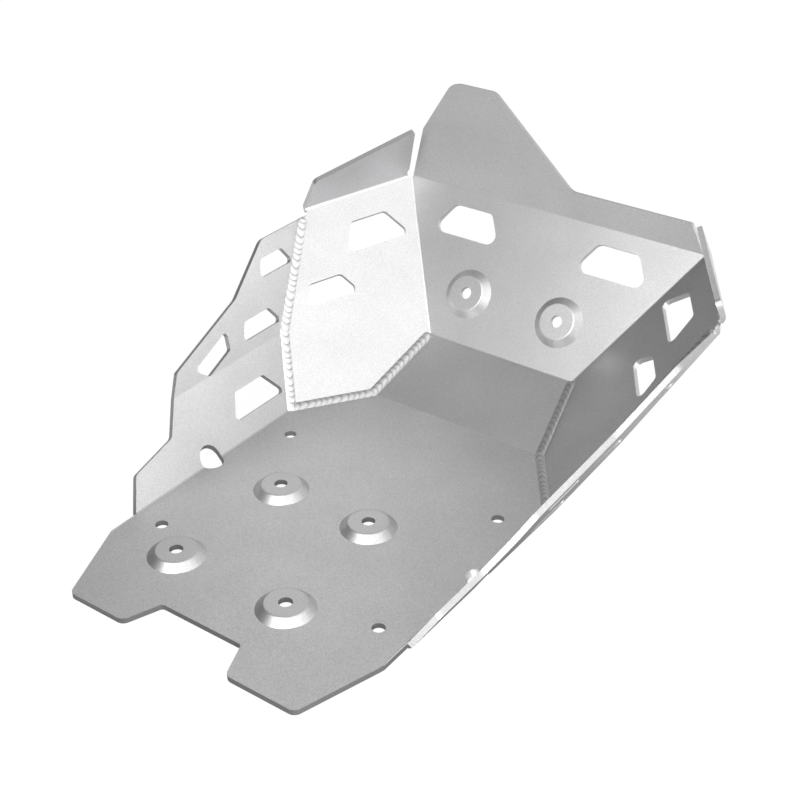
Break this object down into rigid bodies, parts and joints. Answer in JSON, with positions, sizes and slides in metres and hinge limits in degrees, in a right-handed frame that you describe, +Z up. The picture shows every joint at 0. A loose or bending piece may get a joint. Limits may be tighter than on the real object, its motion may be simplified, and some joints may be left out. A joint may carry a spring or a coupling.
{
  "type": "motorcycle skid plate",
  "caption": "Folded and welded aluminium skid plate: flat base, raised nose with corner wings, stepped side walls with windows, pressed mounting dimples and top tabs.",
  "frame": {"origin": "on the underside of the base, on its centreline, midway between the front and rear pairs of mounting dimples", "axes": "+X to the machine's right when looking forward, +Y forward, +Z up, out of the base into the tray"},
  "size_m": [0.3645, 0.4608, 0.2127],
  "materials": {
    "sheet": "satin, fine bead-blasted grain"
  },
  "bodies": {
    "root": {"skid_plate": "sheet"}
  },
  "joints": []
}
